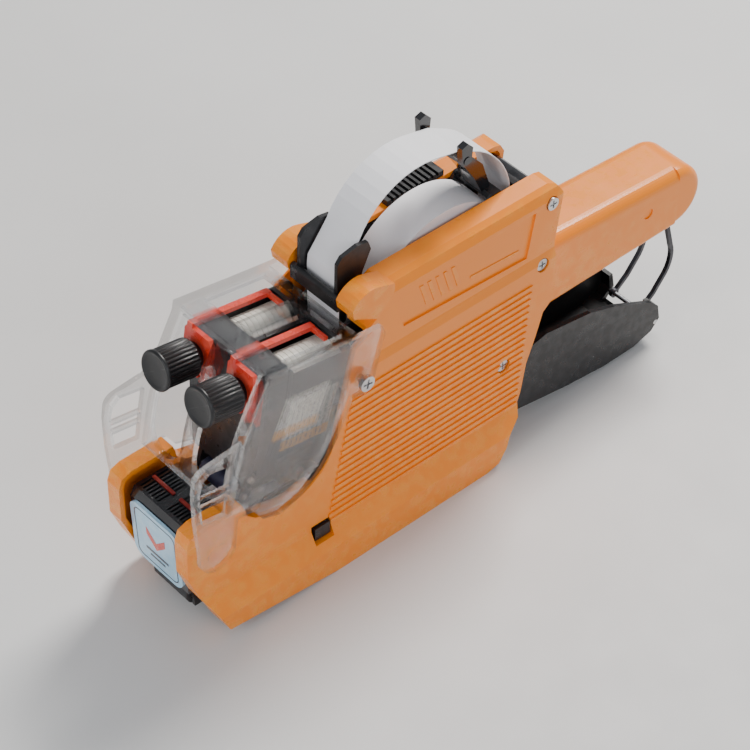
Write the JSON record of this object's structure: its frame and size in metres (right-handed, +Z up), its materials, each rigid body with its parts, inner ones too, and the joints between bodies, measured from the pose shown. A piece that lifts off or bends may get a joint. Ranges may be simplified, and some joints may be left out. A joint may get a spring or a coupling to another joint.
{
  "type": "price labelling gun",
  "caption": "Hand-held two-line price labelling gun: twin shells, squeeze lever, tilting band print head with pull-and-turn knobs, clear cover, label roll and feed.",
  "frame": {"origin": "on the table under the middle of the base, in the plane midway between the two shells", "axes": "+X towards the nose where labels come out, +Y to the gun's own left, +Z up"},
  "size_m": [0.2543, 0.0524, 0.147],
  "materials": {
    "orange": "moulded, light satin gloss",
    "black": "satin moulded",
    "black_gloss": "moulded, glossy",
    "steel": "bright zinc plated",
    "clear": "clear moulded acrylic, polished",
    "red": "moulded, satin",
    "band_rubber": "white moulded character bands",
    "paper": "coated label paper",
    "card": "wound card tube",
    "ink_foam": "ink soaked foam",
    "grey_rubber": "soft ground rubber",
    "white_plastic": "moulded acetal",
    "pale_blue": "printed plate under clear film",
    "dark_red": "moulded"
  },
  "bodies": {
    "casing": {"left_shell": "orange", "right_shell": "orange", "casing_screws": "steel", "left_frame_plate": "black", "right_frame_plate": "black", "rear_crossbar": "black_gloss", "frame_spacers": "black", "fixed_handle": "orange", "handle_screw": "steel", "roll_hub": "black", "label_tape": "paper", "tape_fork": "black_gloss", "tape_guide": "black", "label_table": "black", "peel_plate": "steel", "head_pin": "steel", "cover_screws": "steel", "lever_pin": "steel", "lever_spring": "steel", "pawl_pin": "steel", "apply_pin": "steel", "nose_block": "black_gloss", "nose_strips": "dark_red", "nose_plate": "pale_blue", "door_pin": "steel", "catch_spring": "steel"},
    "roll": {"label_roll": "paper", "roll_core": "card"},
    "roll_slide": {"finger_pad": "black"},
    "lever": {"trigger_lever": "black", "lever_link_pins": "steel", "hook_pin": "steel"},
    "lock_hook": {"lever_hook": "steel"},
    "head": {"head_housing": "black", "left_bands": "band_rubber", "right_bands": "band_rubber", "left_band_wheels": "white_plastic", "right_band_wheels": "white_plastic", "band_anvils": "steel", "ink_hinge_pins": "steel"},
    "ink_swing": {"ink_carrier": "black", "ink_pin": "steel"},
    "ink": {"ink_roller": "ink_foam"},
    "left_carriage": {"left_selector": "red"},
    "right_carriage": {"right_selector": "red"},
    "left_dial": {"left_knob_shaft": "steel", "left_knob": "black"},
    "right_dial": {"right_knob_shaft": "steel", "right_knob": "black"},
    "cover": {"clear_cover": "clear"},
    "feed": {"feed_wheel": "white_plastic", "feed_shaft": "steel", "feed_ratchet": "steel"},
    "pawl": {"feed_pawl": "steel"},
    "apply": {"apply_roller": "grey_rubber"},
    "door": {"bottom_door": "black"},
    "left_catch": {"left_door_catch": "black"},
    "right_catch": {"right_door_catch": "black"}
  },
  "joints": [
    {"name": "roll_spin", "type": "hinge", "parent": "casing", "child": "roll", "pos_m": [-0.041, 0, 0.088], "axis": [0, 1, 0], "continuous": true},
    {"name": "roll_slide", "type": "slide", "parent": "casing", "child": "roll_slide", "axis": [1, 0, 0], "range_m": [0, 0.005]},
    {"name": "lever_squeeze", "type": "hinge", "parent": "casing", "child": "lever", "pos_m": [0, 0, 0.026], "axis": [0, 1, 0], "range_deg": [0, 9.4], "stiffness_Nm_per_rad": 0.3, "springref_deg": -34.38},
    {"name": "lock_hook_swing", "type": "hinge", "parent": "lever", "child": "lock_hook", "pos_m": [-0.1484, 0, 0.009], "axis": [0, 1, 0], "range_deg": [-16, 6]},
    {"name": "head_stroke", "type": "hinge", "parent": "casing", "child": "head", "pos_m": [-0.002, 0, 0.058], "axis": [0, 1, 0], "range_deg": [0, 8.8]},
    {"name": "ink_swing", "type": "hinge", "parent": "head", "child": "ink_swing", "pos_m": [0.04954, 0, 0.05351], "axis": [0, 1, 0], "range_deg": [-42, 0]},
    {"name": "ink_roll", "type": "hinge", "parent": "ink_swing", "child": "ink", "pos_m": [0.0521, 0, 0.04693], "axis": [0, 1, 0], "continuous": true},
    {"name": "left_select", "type": "slide", "parent": "head", "child": "left_carriage", "axis": [0.9877, 0, 0.1564], "range_m": [0, 0.018]},
    {"name": "right_select", "type": "slide", "parent": "head", "child": "right_carriage", "axis": [0.9877, 0, 0.1564], "range_m": [0, 0.018]},
    {"name": "left_knob_turn", "type": "hinge", "parent": "left_carriage", "child": "left_dial", "pos_m": [0.05257, 0.0112, 0.09702], "axis": [0.9877, 0, 0.1564], "continuous": true},
    {"name": "right_knob_turn", "type": "hinge", "parent": "right_carriage", "child": "right_dial", "pos_m": [0.05257, -0.0112, 0.09702], "axis": [0.9877, 0, 0.1564], "continuous": true},
    {"name": "cover_lift", "type": "hinge", "parent": "casing", "child": "cover", "pos_m": [0.00922, 0, 0.08306], "axis": [0, 1, 0], "range_deg": [-10, 0]},
    {"name": "feed_turn", "type": "hinge", "parent": "casing", "child": "feed", "pos_m": [0.044, 0, 0.019], "axis": [0, 1, 0], "continuous": true},
    {"name": "pawl_swing", "type": "hinge", "parent": "casing", "child": "pawl", "pos_m": [0.03, 0, 0.0306], "axis": [0, 1, 0], "range_deg": [-10, 0], "stiffness_Nm_per_rad": 0.002, "springref_deg": 17.19},
    {"name": "apply_roll", "type": "hinge", "parent": "casing", "child": "apply", "pos_m": [0.071, 0, 0.0116], "axis": [0, 1, 0], "continuous": true},
    {"name": "door_drop", "type": "hinge", "parent": "casing", "child": "door", "pos_m": [-0.047, 0, 0.0054], "axis": [0, 1, 0], "range_deg": [0, 40]},
    {"name": "left_catch_press", "type": "slide", "parent": "casing", "child": "left_catch", "axis": [0, -1, 0], "range_m": [0, 0.003], "stiffness_N_per_m": 300, "springref_m": -0.002},
    {"name": "right_catch_press", "type": "slide", "parent": "casing", "child": "right_catch", "axis": [0, 1, 0], "range_m": [0, 0.003], "stiffness_N_per_m": 300, "springref_m": -0.002}
  ],
  "couplings": [
    {"joint": "head_stroke", "follows": "lever_squeeze", "ratio": 0.9357},
    {"joint": "ink_swing", "follows": "lever_squeeze", "ratio": -4.4}
  ]
}
